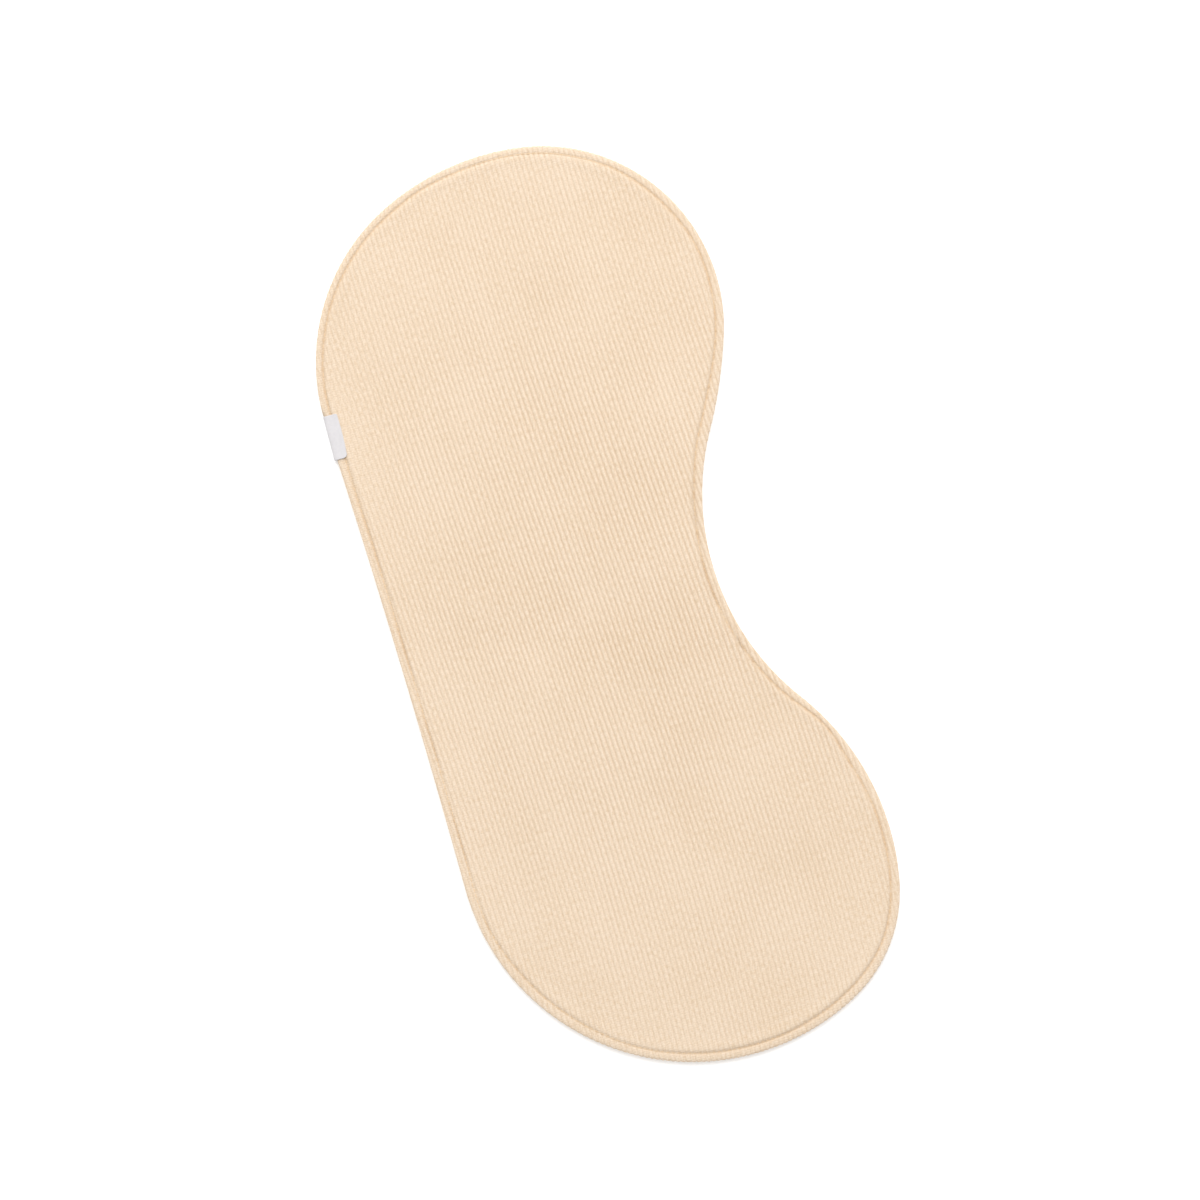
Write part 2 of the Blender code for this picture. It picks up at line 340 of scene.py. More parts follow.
def measure(piece):
    """Prints a piece's triangles, its open edges, and its volume, which is positive if it faces out."""
    bm = bmesh.new()
    bm.from_mesh(piece.data)
    open_edges = sum(not edge.is_manifold for edge in bm.edges)
    volume = bm.calc_volume(signed=True) / MM**3
    triangles = sum(len(face.verts) - 2 for face in bm.faces)
    bm.free()
    print(piece.name, triangles, "triangles,", open_edges, "open edges,", round(volume), "cubic mm")


# %% [markdown]
# ## Cotton, woven tape and thread
# The cloth is cotton rib, combed and knitted: matt, with a bloom of fine fibre that catches light at
# a low angle. Up close each rib is a column of V-shaped loops. The tape is a fine polyester satin,
# whiter and a little shinier. The thread is spun polyester in the cloth's own colour.


# %% Colours and nodes
def linear(hex_colour):
    """Linear colour of an sRGB hex value, by the standard's curve."""
    values = [int(hex_colour[i:i + 2], 16) / 255 for i in (1, 3, 5)]
    return (*[v / 12.92 if v <= 0.04045 else ((v + 0.055) / 1.055) ** 2.4 for v in values], 1.0)


def add(tree, kind, values=None, links=None, **settings):
    """Adds a node to a tree, with its own settings, its sockets' values and its links."""
    made = tree.nodes.new(kind)
    for name, value in settings.items():
        setattr(made, name, value)
    for name, value in (values or {}).items():
        made.inputs[name].default_value = value
    for name, source in (links or {}).items():
        tree.links.new(source, made.inputs[name])
    return made


def plain_shader(name, roughness, sheen, sheen_roughness):
    """A material with a Principled shader for cloth, and its tree."""
    material = bpy.data.materials.new(name)
    material.use_nodes = True
    tree = material.node_tree
    shader = tree.nodes["Principled BSDF"]
    shader.inputs["Roughness"].default_value = roughness
    shader.inputs["Sheen Weight"].default_value = sheen
    shader.inputs["Sheen Roughness"].default_value = sheen_roughness
    shader.inputs["Sheen Tint"].default_value = linear("#FFF4E4")
    shader.inputs["Specular IOR Level"].default_value = 0.25
    return material, tree, shader


# %% Cotton rib
COTTON = "#EBD9C4"  # warm cream, the cloth's own colour
COTTON_DEEP = "#DDC6AA"  # the same, a shade deeper, for the yarn's own soft patches and single ribs, and for the specks' painted shade
COTTON_VALLEY = "#CBAC88"  # between two ribs, where light reaches less
VALLEY_SHARE = 0.47
LOOP_HEIGHT = 1.3  # a loop is nearer 0.9 mm, drawn coarser so that it shows from a step away
LOOP_SLANT = 0.8
LOOP_WANDER = 0.5
WANDER_SIZE = 4.0
PATCH_SIZE = 60.0
PATCH_TONE = 0.7
RIB_TONE = 0.08
DEEP_MEAN = 0.3  # the deeper tone's share on the whole
SPECK_WIDE = 0.75  # a single loop's arm that catches the light, or lies in its own shade
SPECK_LONG = 2.4
SPECK_TONE = 3.3  # how strongly they vary between the two tones
FIBRE_SIZE = 0.30


def noise(tree, space, scale, detail):
    """Random soft noise in a space, with this many features to its unit."""
    values = {"Scale": scale, "Detail": detail, "Roughness": 0.6}
    return add(tree, "ShaderNodeTexNoise", values, {"Vector": space}).outputs["Fac"]


def sum_of(tree, value, factor, more):
    """One value times a factor, plus another, which may be a number."""
    links = {0: value}
    values = {1: factor}
    if isinstance(more, float):
        values[2] = more
    else:
        links[2] = more
    return add(tree, "ShaderNodeMath", values, links, operation="MULTIPLY_ADD").outputs[0]


def cotton_rib():
    """Combed cotton rib: cream, matt, with a fine bloom, V-shaped loops, uneven tone and painted shade."""
    material, tree, shader = plain_shader("cotton_rib", 0.88, 0.12, 0.55)
    uv = add(tree, "ShaderNodeUVMap", uv_map="cloth")
    place = add(tree, "ShaderNodeTexCoord").outputs["Object"]
    split = add(tree, "ShaderNodeSeparateXYZ", links={"Vector": uv.outputs["UV"]})
    across = add(tree, "ShaderNodeMath", {1: 0.5}, {0: split.outputs["X"]}, operation="ADD")
    speck_scale = (RIB_PITCH / SPECK_WIDE, RIB_PITCH / SPECK_LONG, 1.0)
    loops = add(tree, "ShaderNodeMapping", {"Scale": speck_scale}, {"Vector": uv.outputs["UV"]})
    speck = noise(tree, loops.outputs["Vector"], 1.0, 2.0)

    # The arms of a loop slant down from the middle of its rib, and the rows wander a little.
    within = add(tree, "ShaderNodeMath", None, {0: across.outputs[0]}, operation="FRACT")
    centred = add(tree, "ShaderNodeMath", {1: 0.5}, {0: within.outputs[0]}, operation="SUBTRACT")
    arm = add(tree, "ShaderNodeMath", None, {0: centred.outputs[0]}, operation="ABSOLUTE")
    slant = sum_of(tree, arm.outputs[0], LOOP_SLANT, -0.5)
    wander = sum_of(tree, noise(tree, place, 1 / (WANDER_SIZE * MM), 2.0), LOOP_WANDER, slant)
    rows = sum_of(tree, split.outputs["Y"], RIB_PITCH / LOOP_HEIGHT, wander)
    turn = add(tree, "ShaderNodeMath", {1: 2 * math.pi}, {0: rows}, operation="MULTIPLY")
    wave = add(tree, "ShaderNodeMath", None, {0: turn.outputs[0]}, operation="SINE")
    loop_bump = add(
        tree, "ShaderNodeBump", {"Strength": 0.45, "Distance": 0.12 * MM}, {"Height": wave.outputs[0]},
    )
    speck_bump = add(
        tree, "ShaderNodeBump", {"Strength": 0.8, "Distance": 0.2 * MM},
        {"Height": speck, "Normal": loop_bump.outputs["Normal"]},
    )
    fibre_bump = add(
        tree, "ShaderNodeBump", {"Strength": 0.7, "Distance": 0.12 * MM},
        {"Height": noise(tree, place, 1 / (FIBRE_SIZE * MM), 4.0), "Normal": speck_bump.outputs["Normal"]},
    )

    # The tone is uneven in three ways: soft patches and each rib's own tone, which are the yarn's, and
    # specks, which are painted light and shade on single loops' arms.
    rib_number = add(tree, "ShaderNodeMath", None, {0: across.outputs[0]}, operation="FLOOR")
    rib_tone = add(
        tree, "ShaderNodeTexWhiteNoise", None, {"W": rib_number.outputs[0]}, noise_dimensions="1D",
    )
    # Painted light and shade: each speck is a loop's arm that catches the light or lies in its own shade.
    specks = sum_of(tree, speck, SPECK_TONE, DEEP_MEAN - (SPECK_TONE + PATCH_TONE) / 2)
    ribs = sum_of(tree, rib_tone.outputs["Value"], RIB_TONE, specks)
    patches = sum_of(tree, noise(tree, place, 1 / (PATCH_SIZE * MM), 2.0), PATCH_TONE, ribs)
    share = add(tree, "ShaderNodeClamp", None, {"Value": patches})
    field = add(
        tree, "ShaderNodeMix", {"A": linear(COTTON), "B": linear(COTTON_DEEP)},
        {"Factor": share.outputs["Result"]}, data_type="RGBA",
    )
    # Painted shade: the valleys between ribs, and the crease at the stitches, are mixed towards the valley
    # colour by this attribute.
    painted_shade = add(tree, "ShaderNodeAttribute", attribute_name="painted_shade")
    valley_share = add(
        tree, "ShaderNodeMath", {1: VALLEY_SHARE}, {0: painted_shade.outputs["Fac"]}, operation="MULTIPLY",
    )
    shaded = add(
        tree, "ShaderNodeMix", {"B": linear(COTTON_VALLEY)},
        {"Factor": valley_share.outputs[0], "A": field.outputs["Result"]}, data_type="RGBA",
    )
    tree.links.new(shaded.outputs["Result"], shader.inputs["Base Color"])
    tree.links.new(fibre_bump.outputs["Normal"], shader.inputs["Normal"])
    return material


cotton = cotton_rib()
print(cotton.name, "loops", LOOP_HEIGHT, "mm tall, fibre", FIBRE_SIZE, "mm")

# %% [markdown]
# ## The stitch line and the label's place
# The topstitching runs round the cloth a few millimetres in, and no sewer keeps that distance to a
# hair: it is narrow at the upper left, wide at the lower right, and swings in and out at the ends of
# the hollow. The label crosses the stitch line at the back, near the upper end, and the cloth is
# pressed down under it.

# %% Stitch line
STITCH_INSET = 4.45
STITCH_ACROSS = 0.1  # how much the distance grows over 100 mm towards +X
STITCH_ALONG = -0.12  # and over 100 mm towards +Y
STITCH_WANDER = 0.4
WANDER_REACH = 24.0
SWINGS = (
    dict(x=86.0, y=81.0, reach=26.0, more=1.2),  # the line drifts in, above the hollow
    dict(x=91.0, y=-96.0, reach=15.0, more=-2.0),  # and out again below it
    dict(x=-91.0, y=-195.0, reach=22.0, more=0.7),  # lower left shoulder
)


def stitch_inset(x, y):
    """Distance of the stitches from the edge: a plane over the cloth, plus a soft hill for each swing."""
    inset = STITCH_INSET + STITCH_ACROSS * x / 100 + STITCH_ALONG * y / 100
    inset = inset + STITCH_WANDER * soft_noise(x, y, WANDER_REACH, 31)
    for swing in SWINGS:
        far = np.hypot(x - swing["x"], y - swing["y"]) / swing["reach"]
        inset = inset + swing["more"] * np.exp(-(far**2))
    return inset


narrow, wide = stitch_inset(-85.0, 206.0), stitch_inset(81.0, -226.0)
print("stitches lie", narrow.round(1), "to", wide.round(1), "mm in")

# %% Label's place
LABEL_Y = 130.5
LABEL_LENGTH = 24.0
LABEL_WIDTH = 7.15  # at its lower end
LABEL_FLARE = 0.4  # cut askew, it is this much wider at its upper end
LABEL_ASKEW = 3.0  # and it is folded at this angle to the edge, in degrees
LABEL_SQUEEZE = 0.9  # so at its upper end it pulls the edge in by this much
LABEL_BULGE = 0.45  # and its free end isn't quite straight
LABEL_PROUD = 0.85
LABEL_THICK = 0.20
PRESS_EASE = 1.2

facing_left = outward[:, 0] < -0.5
order = np.argsort(edge[facing_left, 1])
left_y = edge[facing_left, 1][order]
seat = np.array([np.interp(LABEL_Y, left_y, edge[facing_left, 0][order]), LABEL_Y])
inward = -np.array([np.interp(LABEL_Y, left_y, outward[facing_left, i][order]) for i in (0, 1)])
askew = math.radians(LABEL_ASKEW)
inward = inward / np.hypot(*inward)
inward = math.cos(askew) * inward + math.sin(askew) * np.array([inward[1], -inward[0]])
sideways = np.array([-inward[1], inward[0]])


def under_label(x, y):
    """1 under the label, 0 away from it, eased between: the product of two smooth steps."""
    depth = (x - seat[0]) * inward[0] + (y - seat[1]) * inward[1]
    aside = (x - seat[0]) * sideways[0] + (y - seat[1]) * sideways[1]
    free_end = LABEL_WIDTH - LABEL_PROUD + LABEL_FLARE * np.clip(aside / LABEL_LENGTH + 0.5, 0, 1)
    inside = np.clip((free_end + PRESS_EASE - depth) / PRESS_EASE, 0, 1)
    within = np.clip((LABEL_LENGTH / 2 + PRESS_EASE - np.abs(aside)) / PRESS_EASE, 0, 1)
    share = inside * within
    return share * share * (3 - 2 * share)


def squeezed(net):
    """A net whose edge is drawn in under the label's upper half: more near its end and near the edge."""
    x, y, inset = net["x"], net["y"], net["inset"]
    aside = ((x - seat[0]) * sideways[0] + (y - seat[1]) * sideways[1]) / LABEL_LENGTH
    pull = LABEL_SQUEEZE * np.clip(0.5 + aside, 0, 1) * under_label(x, y) * np.exp(-inset / PRESS_EASE)
    return dict(net, x=x + pull * inward[0], y=y + pull * inward[1])


print("the label sits at", seat.round(1), "and faces", inward.round(3))

# %% [markdown]
# ## Front panel
# In section the panel starts at the seam, rolls up over a soft rim, dips to a sharp crease at the
# stitches and swells again just inside them, where the two layers are held but not pressed. Further
# in it settles to a field that is almost flat: a soft cloth on a table still has low hills a hand
# wide. The ribs ride on all of this. They stand deepest where the cloth is narrow, beside the neck's
# hollow, and are pulled flatter towards both round ends, by the label and along the stitches.

# %% Heights of the front
SEAM_HIGH = 1.80  # the front panel's edge of the seam
RIM_ROLL = 3.2
CREST_TOP = 3.62  # the ribs' crests reach this height on the flat
RIM_DROP = 0.28  # the rim lies this much lower than the field
CREASE_DEPTH = 1.2
CREASE_OUTER = 1.3
CREASE_INNER = 2.0
PUFF = 0.20
PUFF_INSIDE = 3.0
PUFF_REACH = 2.4
HILL_HEIGHT = 0.30
HILL_SIZE = 62.0
HILLOCK_SIZE = 27.0
HILL_START = 6.0  # the hills begin this far in from the edge
HILL_EASE = 30.0  # and reach their full height this much further in
PRESS_FRONT = 0.18
RIB_SHALLOW = 0.06  # crest to valley, were the cloth to go on far past its ends
RIB_DEEP = 0.86  # and at its middle, beside the neck's hollow
DEEP_PLACE = (14.0, 11.0)
DEEP_REACH = (176.0, 287.0)
RIB_HELD = 0.55  # how much of their depth the stitches take from the ribs
FLAT_PLACE = (-104.0, 130.0)  # beside the label the ribs are stretched flatter
FLAT_REACH = (20.0, 48.0)
FLAT_SHARE = 0.65
VALLEY_MEAN = 1 - 2 / math.pi  # of 1 less the size of a cosine
RIB_PATCHES = 0.16  # how much their depth varies over patches a few ribs wide
RIB_PATCH_SIZE = 19.0
RIB_UNEVEN = 0.14  # and from rib to rib
RIB_PITCH_HALF = 1.3
RIB_STRETCH = 0.15  # it varies this much more slowly along a rib than across
RIB_PRESSED = 0.6  # how much of their depth the label takes from the ribs
LOOSE = (
    dict(x=-112.0, y=-85.0, reach=75.0, share=0.6),  # the back, towards the lower end
    dict(x=-66.0, y=-222.0, reach=35.0, share=0.4),  # the lower end, left of its middle
    dict(x=42.0, y=244.0, reach=42.0, share=0.55),  # the upper end, right of its middle
)
CREASE_SHADE = 0.9  # painted shade in the crease at the stitches, as its share of the valleys' painted shade


def crease_at(inset, line):
    """Depth share of the crease: two round shoulders that meet in a sharp line at the stitches.

    The outer one is the square of the share of its reach that is left, and starts from the rim,
    which is lower than the field. The inner one is the cube.
    """
    off = inset - line
    rim = RIM_DROP / CREASE_DEPTH
    outer = rim + (1 - rim) * np.clip(1 + off / CREASE_OUTER, 0, 1) ** 2
    inner = np.clip(1 - off / CREASE_INNER, 0, 1) ** 3
    return np.where(off < 0, outer, inner)


def crease_hold(x, y):
    """How hard the stitches hold the cloth down: 1, less a soft hill where their thread lies loose."""
    hold = np.ones(np.shape(x))
    for loose in LOOSE:
        far = np.hypot(x - loose["x"], y - loose["y"]) / loose["reach"]
        hold = hold - loose["share"] * np.exp(-(far**2))
    return hold


def rolled(inset, roll):
    """Share of full height near the edge: a quarter of a round-cornered square, by the power of 3."""
    return np.cbrt(1 - (1 - np.clip(inset / roll, 0, 1)) ** 3)


def low_hills(x, y, inset):
    """Low hills of the field, the sum of two noises, which fade out towards the stitches."""
    hills = soft_noise(x, y, HILL_SIZE, 11) + 0.5 * soft_noise(x + 0.5 * y, y, HILLOCK_SIZE, 12)
    return hills * np.clip((inset - HILL_START) / HILL_EASE, 0, 1)


def rib_depth(x, y, u):
    """Depth of the ribs: a broad soft hill, less a small one by the label, times two uneven shares."""
    far = ((x - DEEP_PLACE[0]) / DEEP_REACH[0]) ** 2 + ((y - DEEP_PLACE[1]) / DEEP_REACH[1]) ** 2
    depth = RIB_SHALLOW + (RIB_DEEP - RIB_SHALLOW) * np.exp(-far)
    far = ((x - FLAT_PLACE[0]) / FLAT_REACH[0]) ** 2 + ((y - FLAT_PLACE[1]) / FLAT_REACH[1]) ** 2
    depth = depth * (1 - FLAT_SHARE * np.exp(-far))
    patches = RIB_PATCHES * soft_noise(x, y, RIB_PATCH_SIZE, 22)
    each_rib = RIB_UNEVEN * soft_noise(u, y * RIB_STRETCH, RIB_PITCH_HALF, 21)
    return depth * (1 + patches + each_rib)


def front_height(net):
    """Height of the front: seam, plus the share rolled of crests, crease, puff, hills and valleys."""
    x, y, u, inset = (net[key] for key in ("x", "y", "u", "inset"))
    line = stitch_inset(x, y)
    crease = crease_at(inset, line) * crease_hold(x, y)
    puff = PUFF * np.exp(-(((inset - line - PUFF_INSIDE) / PUFF_REACH) ** 2))
    pressed = under_label(x, y)
    crest = CREST_TOP - CREASE_DEPTH * crease + puff - PRESS_FRONT * pressed
    crest = crest + HILL_HEIGHT * low_hills(x, y, inset)
    depth = rib_depth(x, y, u) * (1 - RIB_HELD * crease) * (1 - RIB_PRESSED * pressed)
    height = crest - depth * (1 - rib_round(u))
    return SEAM_HIGH + (height - SEAM_HIGH) * rolled(inset, RIM_ROLL)


def panel(name, nets, height_of, seam_level, material, facing_up):
    """A closed panel: the face that shows, and a flat face at the seam's level behind it."""
    points, quads, uv, painted_shade = [], [], [], []
    count = 0
    for net in nets:
        rows, columns = net["x"].shape
        drawn = squeezed(net)
        face = np.stack([drawn["x"], drawn["y"], height_of(net)], axis=-1)
        face[(0, -1), :, 2] = np.where(net["inset"][[0, -1]] < 1e-3, seam_level, face[(0, -1), :, 2])
        hidden = face[[0, -1]].copy()
        hidden[..., 2] = seam_level
        for surface, turned in ((face, not facing_up), (hidden, facing_up)):
            quads.append(net_quads(surface.shape[0], columns, count, turned))
            points.append(surface.reshape(-1, 3))
            count += surface.shape[0] * columns
        along = np.concatenate([net["y"], net["y"][[0, -1]]])
        across = np.concatenate([net["u"], net["u"][[0, -1]]])
        uv.append(np.stack([across, along], axis=-1).reshape(-1, 2) / RIB_PITCH)
        # Painted shade in the crease: a soft band about the stitch line, weaker where the thread lies
        # loose.
        crease = np.exp(-(((net["inset"] - stitch_inset(net["x"], net["y"])) / CREASE_OUTER) ** 2))
        crease = crease * crease_hold(net["x"], net["y"])
        # Shallow ribs get the same painted shade as deep ones, but spread evenly instead of gathered in the
        # valleys.
        depth = rib_depth(net["x"], net["y"], net["u"]) / RIB_DEEP
        shade = (1 - rib_round(net["u"])) * depth + VALLEY_MEAN * (1 - depth)
        shade = np.maximum(shade, CREASE_SHADE * crease)
        painted_shade.append(np.concatenate([shade, shade[[0, -1]]]).ravel())
    piece = make_piece(
        name, np.concatenate(points), np.concatenate(quads), material,
        uv=np.concatenate(uv), painted_shade=np.concatenate(painted_shade), merge=0.002,
    )
    measure(piece)
    return piece


front = panel("front_cloth", front_nets, front_height, SEAM_HIGH, cotton, facing_up=True)
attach(front, "root")
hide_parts("front_panel")

# %% [markdown]
# ## Back panel
# The back is the same cloth the other way up. It carries the weight, so its ribs are pressed flatter,
# and their crests all lie on the surface below. It needs fewer points, as nobody sees it so close.

# %% Heights of the back
SEAM_LOW = 1.70
BACK_ROLL = 1.5
BACK_RIB = 0.30
BACK_CREASE = 0.60
PRESS_BACK = 0.42


def back_height(net):
    """Height of the back: the same section as the front, upside down, with its crests at 0."""
    x, y, u, inset = (net[key] for key in ("x", "y", "u", "inset"))
    crease = crease_at(inset, stitch_inset(x, y))
    pressed = under_label(x, y)
    height = BACK_RIB * (1 - rib_round(u)) * (1 - RIB_HELD * crease) * (1 - pressed)
    height = height + BACK_CREASE * crease * (1 - pressed) + PRESS_BACK * pressed
    return SEAM_LOW - (SEAM_LOW - height) * rolled(inset, BACK_ROLL)


back_nets = cloth_nets(per_rib=4, rows=56)
back = panel("back_cloth", back_nets, back_height, SEAM_LOW, cotton, facing_up=False)
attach(back, "root")
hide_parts("back_panel")

# %% [markdown]
# ## Topstitching
# A lockstitch shows as a row of short thread lengths, each arched a little and sunk at both ends where
# the needle went through. It could be one long tube with a wavy path, but separate arches cast the
# small gaps that make stitching look sewn. All of them come from one array.

# %% One arch of thread, many times
STITCH_LENGTH = 3.0
THREAD_RADIUS = 0.19
THREAD_ARCH = 0.3
STATIONS = 11
SIDES = 6
STITCH_ABOVE = 0.20  # the thread's middle lies this much above the ribs' crests in the crease
STITCH_BELOW = 0.16


def stitch_places():
    """Points along the stitch line, evenly apart, and the way along at each."""
    line = edge - outward * stitch_inset(edge[:, 0], edge[:, 1])[:, None]
    steps = np.hypot(*(np.roll(line, -1, axis=0) - line).T)
    gone = np.concatenate([[0.0], np.cumsum(steps)])
    closed = np.concatenate([line, line[:1]])
    count = round(gone[-1] / STITCH_LENGTH)
    spots = np.linspace(0, gone[-1], count + 1)[:-1]
    at = np.stack([np.interp(spots, gone, closed[:, i]) for i in (0, 1)], axis=1)
    return at, np.roll(at, -1, axis=0) - at


def front_level(at):
    """Height of the stitches on the front: in the crease, which is shallower where they are loose."""
    return CREST_TOP - CREASE_DEPTH * crease_hold(at[:, 0], at[:, 1]) + STITCH_ABOVE


def back_level(at):
    """Height of the stitches on the back, the same all round."""
    return np.full(len(at), BACK_CREASE - STITCH_BELOW)


def stitches(name, level_of, arch, material):
    """Every stitch at once: a thin tube whose middle rises by a sine and whose ends close to a point."""
    at, way = stitch_places()
    t = np.linspace(0.04, 0.96, STATIONS)
    turn = np.arange(SIDES) * 2 * math.pi / SIDES
    aside = np.stack([way[:, 1], -way[:, 0]], axis=1) / np.hypot(*way.T)[:, None]
    thick = THREAD_RADIUS * np.sqrt(np.clip(1 - np.abs(2 * t - 1) ** 6, 0, 1))
    thick[[0, -1]] = 0.0
    spine = at[:, None] + way[:, None] * t[None, :, None]
    rise = level_of(at)[:, None] + arch * (np.sin(math.pi * t) - 0.75)
    points = np.zeros((len(at), STATIONS, SIDES, 3))
    across = thick[:, None] * np.cos(turn)
    points[..., :2] = spine[:, :, None] + aside[:, None, None] * across[None, ..., None]
    points[..., 2] = rise[..., None] + thick[:, None] * np.sin(turn)
    count = len(at)
    index = np.arange(count * STATIONS * SIDES).reshape(count, STATIONS, SIDES)
    ring = np.roll(index, -1, axis=2)
    quads = np.stack([index[:, :-1], index[:, 1:], ring[:, 1:], ring[:, :-1]], axis=-1).reshape(-1, 4)
    along = np.broadcast_to(t[None, :, None] * STITCH_LENGTH, index.shape)
    round_it = np.broadcast_to(turn / (2 * math.pi), index.shape)
    uv = np.stack([along, round_it], axis=-1).reshape(-1, 2)
    piece = make_piece(name, points.reshape(-1, 3), quads, material, uv=uv, merge=0.0005)
    measure(piece)
    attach(piece, "root")
    return piece


# %% Thread
THREAD = "#E6CBA6"
PLY_LENGTH = 0.8


def spun_thread():
    """Spun polyester thread: the cloth's colour, faintly glossy, two plies twisted round each other."""
    material, tree, shader = plain_shader("spun_thread", 0.6, 0.1, 0.4)
    uv = add(tree, "ShaderNodeUVMap", uv_map="cloth")
    split = add(tree, "ShaderNodeSeparateXYZ", links={"Vector": uv.outputs["UV"]})
    phase = add(
        tree, "ShaderNodeMath", {1: 1 / PLY_LENGTH},
        {0: split.outputs["X"], 2: split.outputs["Y"]}, operation="MULTIPLY_ADD",
    )
    angle = add(tree, "ShaderNodeMath", {1: 2 * math.pi}, {0: phase.outputs[0]}, operation="MULTIPLY")
    twist = add(tree, "ShaderNodeMath", None, {0: angle.outputs[0]}, operation="SINE")
    bump = add(
        tree, "ShaderNodeBump", {"Strength": 0.6, "Distance": 0.06 * MM}, {"Height": twist.outputs[0]},
    )
    shader.inputs["Base Color"].default_value = linear(THREAD)
    tree.links.new(bump.outputs["Normal"], shader.inputs["Normal"])
    return material


thread = spun_thread()
front_stitches = stitches("front_topstitch", front_level, THREAD_ARCH, thread)
back_stitches = stitches("back_topstitch", back_level, -THREAD_ARCH, thread)

# %% [markdown]
# ## Label
# A short length of white satin tape, folded over the edge and tacked down over the stitching. It stays
# bare. Its shape is a section carried along the edge: flat on the rim, round the fold, and flat again
# under the cloth. A flat strip bent by a modifier would do too, but the section says where it touches.

# %% Satin tape
TAPE = "#DDDADB"  # cool white, a little grey beside the paper it lies on
TAPE_SLUB = "#D3D0D2"  # the same where the thread runs thicker
SLUB_SIZE = 1.6
TAPE_THREAD = 0.32  # weft threads are nearer 0.2 mm, drawn coarser so that they show


def satin_tape():
    """Woven polyester satin: cool white, smooth, with fine cross threads and a soft gleam."""
    material, tree, shader = plain_shader("satin_tape", 0.5, 0.15, 0.35)
    uv = add(tree, "ShaderNodeUVMap", uv_map="cloth")
    split = add(tree, "ShaderNodeSeparateXYZ", links={"Vector": uv.outputs["UV"]})
    wefts = add(
        tree, "ShaderNodeMath", {1: 2 * math.pi / TAPE_THREAD}, {0: split.outputs["X"]},
        operation="MULTIPLY",
    )
    warps = add(
        tree, "ShaderNodeMath", {1: math.pi / TAPE_THREAD}, {0: split.outputs["Y"]}, operation="MULTIPLY",
    )
    weft = add(tree, "ShaderNodeMath", None, {0: wefts.outputs[0]}, operation="SINE")
    warp = add(tree, "ShaderNodeMath", None, {0: warps.outputs[0]}, operation="SINE")
    weave = add(
        tree, "ShaderNodeMath", {1: 0.35}, {0: warp.outputs[0], 2: weft.outputs[0]},
        operation="MULTIPLY_ADD",
    )
    place = add(tree, "ShaderNodeTexCoord")
    slub = add(
        tree, "ShaderNodeTexNoise", {"Scale": 1 / (SLUB_SIZE * MM), "Detail": 2.0},
        {"Vector": place.outputs["Object"]},
    )
    tone = add(
        tree, "ShaderNodeMix", {"A": linear(TAPE), "B": linear(TAPE_SLUB)},
        {"Factor": slub.outputs["Fac"]}, data_type="RGBA",
    )
    bump = add(
        tree, "ShaderNodeBump", {"Strength": 0.5, "Distance": 0.05 * MM}, {"Height": weave.outputs[0]},
    )
    tree.links.new(tone.outputs["Result"], shader.inputs["Base Color"])
    tree.links.new(bump.outputs["Normal"], shader.inputs["Normal"])
    return material


# %% The folded tape
# Depth into the cloth and height of the tape's middle, from its free end on top, round the fold, to
# its free end below.
TAPE_SECTION = (
    (6.3, 3.80), (5.4, 3.74), (4.4, 3.58), (3.3, 3.45), (2.2, 3.40), (1.2, 3.31), (0.3, 3.02),
    (-0.38, 2.52), (-0.73, 1.9), (-0.62, 1.2), (-0.15, 0.56), (0.7, 0.25), (2.2, 0.19), (4.2, 0.19),
    (6.3, 0.19),
)
TAPE_WAVE = 0.06
TAPE_WAVE_LENGTH = 15.0
CORNER_LOWER = 2.0  # round corners of the free end
CORNER_UPPER = 0.7
ALONG_SECTION = 72
ALONG_TAPE = 48


def smooth_path(corners, count):
    """A curve through the corners: cubic pieces whose slope at a corner is that between its neighbours."""
    corners = np.array(corners)
    slopes = np.gradient(corners, axis=0)
    where = np.linspace(0, len(corners) - 1 - 1e-9, count)
    i = where.astype(int)
    t = (where - i)[:, None]
    p, q, m, n = corners[i], corners[i + 1], slopes[i], slopes[i + 1]
    return (
        (2 * t**3 - 3 * t**2 + 1) * p + (t**3 - 2 * t**2 + t) * m
        + (-2 * t**3 + 3 * t**2) * q + (t**3 - t**2) * n
    )


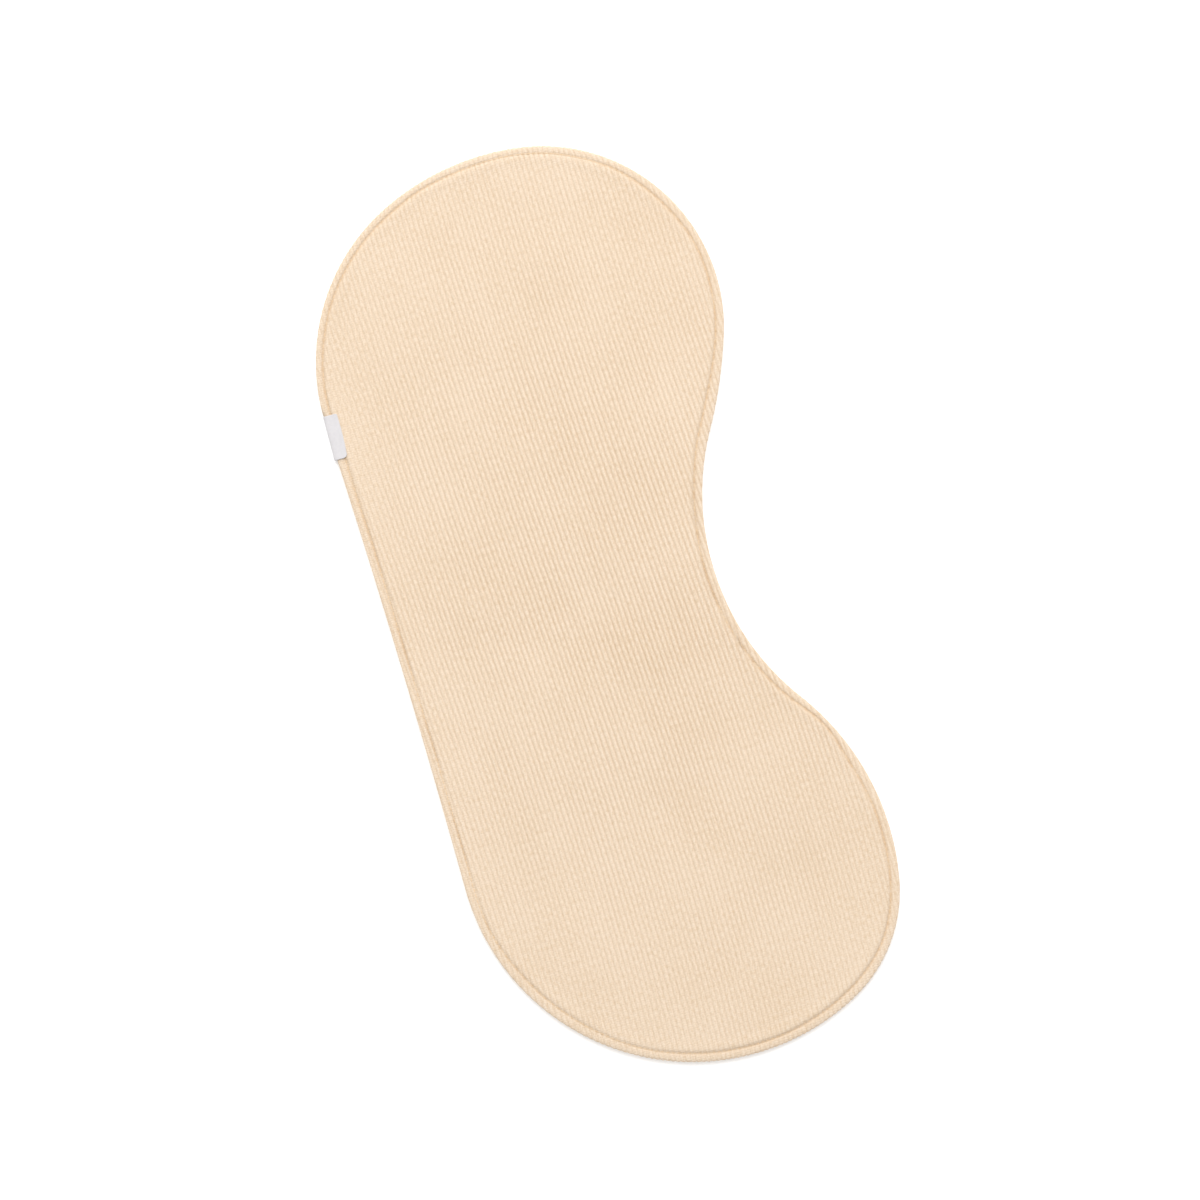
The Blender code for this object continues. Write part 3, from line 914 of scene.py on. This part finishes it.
def folded_tape(material):
    """The section's two faces, half the thickness either side of its middle, carried along the edge."""
    path = smooth_path(TAPE_SECTION, ALONG_SECTION)
    slope = np.gradient(path, axis=0)
    normal = np.stack([-slope[:, 1], slope[:, 0]], axis=1) / np.hypot(*slope.T)[:, None]
    # The faces draw together at the free ends, which a hot knife leaves thin and round.
    end = np.minimum(np.arange(ALONG_SECTION), np.arange(ALONG_SECTION)[::-1])
    half = LABEL_THICK / 2 * np.sqrt(np.clip((end + 0.4) / 2.0, 0, 1))
    loop = np.concatenate([path - normal * half[:, None], (path + normal * half[:, None])[::-1]])
    gone = np.concatenate([[0.0], np.cumsum(np.hypot(*np.diff(path, axis=0).T))])
    gone = np.concatenate([gone, gone[::-1]])
    s = np.linspace(-LABEL_LENGTH / 2, LABEL_LENGTH / 2, ALONG_TAPE)
    # The tape isn't quite flat along its length either.
    wave = TAPE_WAVE * np.sin(2 * math.pi * s / TAPE_WAVE_LENGTH + 0.8)
    # Towards its upper end the free edge reaches further in, and a quarter circle rounds each corner.
    share = s / LABEL_LENGTH + 0.5
    reach = LABEL_WIDTH - LABEL_PROUD + LABEL_FLARE * share + LABEL_BULGE * np.sin(math.pi * share)
    for corner, to_end in ((CORNER_LOWER, share), (CORNER_UPPER, 1 - share)):
        left = np.clip(1 - to_end * LABEL_LENGTH / corner, 0, 1)
        reach = reach - corner * (1 - np.sqrt(1 - left**2))
    stretch = reach / TAPE_SECTION[0][0]
    depth = np.where(loop[:, None, 0] > 0, loop[:, None, 0] * stretch, loop[:, None, 0])
    spots = seat + inward * depth[..., None] + sideways * s[None, :, None]
    height = loop[:, None, 1] + wave[None] * (loop[:, None, 1] > 2.0)
    points = np.concatenate([spots, height[..., None]], axis=-1)
    count = len(loop)
    index = np.arange(count * ALONG_TAPE).reshape(count, ALONG_TAPE)
    after = np.roll(index, -1, axis=0)
    sides = np.stack([index[:, :-1], after[:, :-1], after[:, 1:], index[:, 1:]], axis=-1).reshape(-1, 4)
    near, far = index[:, 0], index[:, -1]
    pairs = np.arange(ALONG_SECTION - 1)
    opposite = count - 1 - pairs
    near_cap = np.stack([near[pairs], near[opposite], near[opposite - 1], near[pairs + 1]], axis=-1)
    far_cap = np.stack([far[pairs], far[pairs + 1], far[opposite - 1], far[opposite]], axis=-1)
    faces = np.concatenate([sides, near_cap, far_cap])
    uv = np.stack(np.broadcast_arrays(gone[:, None], s[None]), axis=-1).reshape(-1, 2)
    piece = make_piece("folded_tape", points.reshape(-1, 3), faces, material, uv=uv)
    bm = bmesh.new()
    bm.from_mesh(piece.data)
    bmesh.ops.recalc_face_normals(bm, faces=bm.faces[:])
    bm.to_mesh(piece.data)
    bm.free()
    measure(piece)
    return piece


tape = folded_tape(satin_tape())
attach(tape, "root")
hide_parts("label")

# %% [markdown]
# ## Floor, light and camera
# The photograph looks straight down on the cloth on plain white. A broad, soft light stands towards
# the top of the picture, and the pale room fills the rest, so the grooves read as thin lines of
# light and shade. The camera hangs far above with a long lens, which keeps the outline true, and is
# turned so that the cloth leans as it does in the photograph.

# %% Floor
FLOOR_HALF = 4000.0
FLOOR_GAP = 0.3
FLOOR_GLOW = 0.15
corner = np.array([[-1, -1, 0], [1, -1, 0], [1, 1, 0], [-1, 1, 0]]) * FLOOR_HALF
corner = corner + [0.0, 0.0, -FLOOR_GAP]
floor_paint = bpy.data.materials.new("pale_floor")
floor_paint.use_nodes = True
floor_shader = floor_paint.node_tree.nodes["Principled BSDF"]
floor_shader.inputs["Base Color"].default_value = linear("#FDFDFD")
floor_shader.inputs["Roughness"].default_value = 0.9
# White paper under studio light is brighter than a picture can show; a glow of its own does that here.
floor_shader.inputs["Emission Color"].default_value = linear("#FFFFFF")
floor_shader.inputs["Emission Strength"].default_value = FLOOR_GLOW
floor_shader.inputs["Specular IOR Level"].default_value = 0.1
floor = make_piece("floor", corner, np.array([[0, 1, 2, 3]]), floor_paint)

# %% Light
CLOTH_LEAN = 17.8  # the cloth's length leans this far to the left of the picture's upright
KEY_ELEVATION = 45.0
KEY_FROM = 93.0  # direction of the light in the picture, in degrees from its right
KEY_DISTANCE = 4200.0
KEY_SIDE = 3700.0
KEY_POWER = 152.0
ROOM_STRENGTH = 0.74

key = bpy.data.lights.new("soft_key", "AREA")
key.energy = KEY_POWER
key.size = KEY_SIDE * MM
key_light = bpy.data.objects.new("soft_key", key)
bpy.context.scene.collection.objects.link(key_light)
# A lamp shines down its own -Z: it is tipped away from straight down, then turned about the upright.
key_bearing = math.radians(KEY_FROM - CLOTH_LEAN)
key_rise = math.radians(KEY_ELEVATION)
key_light.rotation_euler = (math.pi / 2 - key_rise, 0.0, key_bearing + math.pi / 2)
key_away = np.array([math.cos(key_bearing), math.sin(key_bearing), math.tan(key_rise)]) * math.cos(key_rise)
key_light.location = key_away * KEY_DISTANCE * MM

room = bpy.data.worlds.new("pale_room")
room.use_nodes = True
room.node_tree.nodes["Background"].inputs["Color"].default_value = linear("#FFFFFF")
room.node_tree.nodes["Background"].inputs["Strength"].default_value = ROOM_STRENGTH
bpy.context.scene.world = room
bpy.context.scene.view_settings.view_transform = "Standard"

# %% Camera
PICTURE_SIDE = 1200  # pixels of the photograph's square frame
PIXEL = 0.53  # millimetres of cloth to a pixel
CAMERA_HEIGHT = 3000.0
PICTURE_MIDDLE = (1.8, 5.25)  # the place on the cloth at the middle of the picture

camera = bpy.data.cameras.new("camera")
camera.sensor_width = 36.0
camera.lens = camera.sensor_width * CAMERA_HEIGHT / (PICTURE_SIDE * PIXEL)
camera.clip_end = 50.0
viewer = bpy.data.objects.new("camera", camera)
bpy.context.scene.collection.objects.link(viewer)
viewer.location = (PICTURE_MIDDLE[0] * MM, PICTURE_MIDDLE[1] * MM, (CAMERA_HEIGHT + cad_high.z / MM) * MM)
viewer.rotation_euler = (0.0, 0.0, math.radians(-CLOTH_LEAN))
bpy.context.scene.camera = viewer
print("lens", round(camera.lens), "mm")
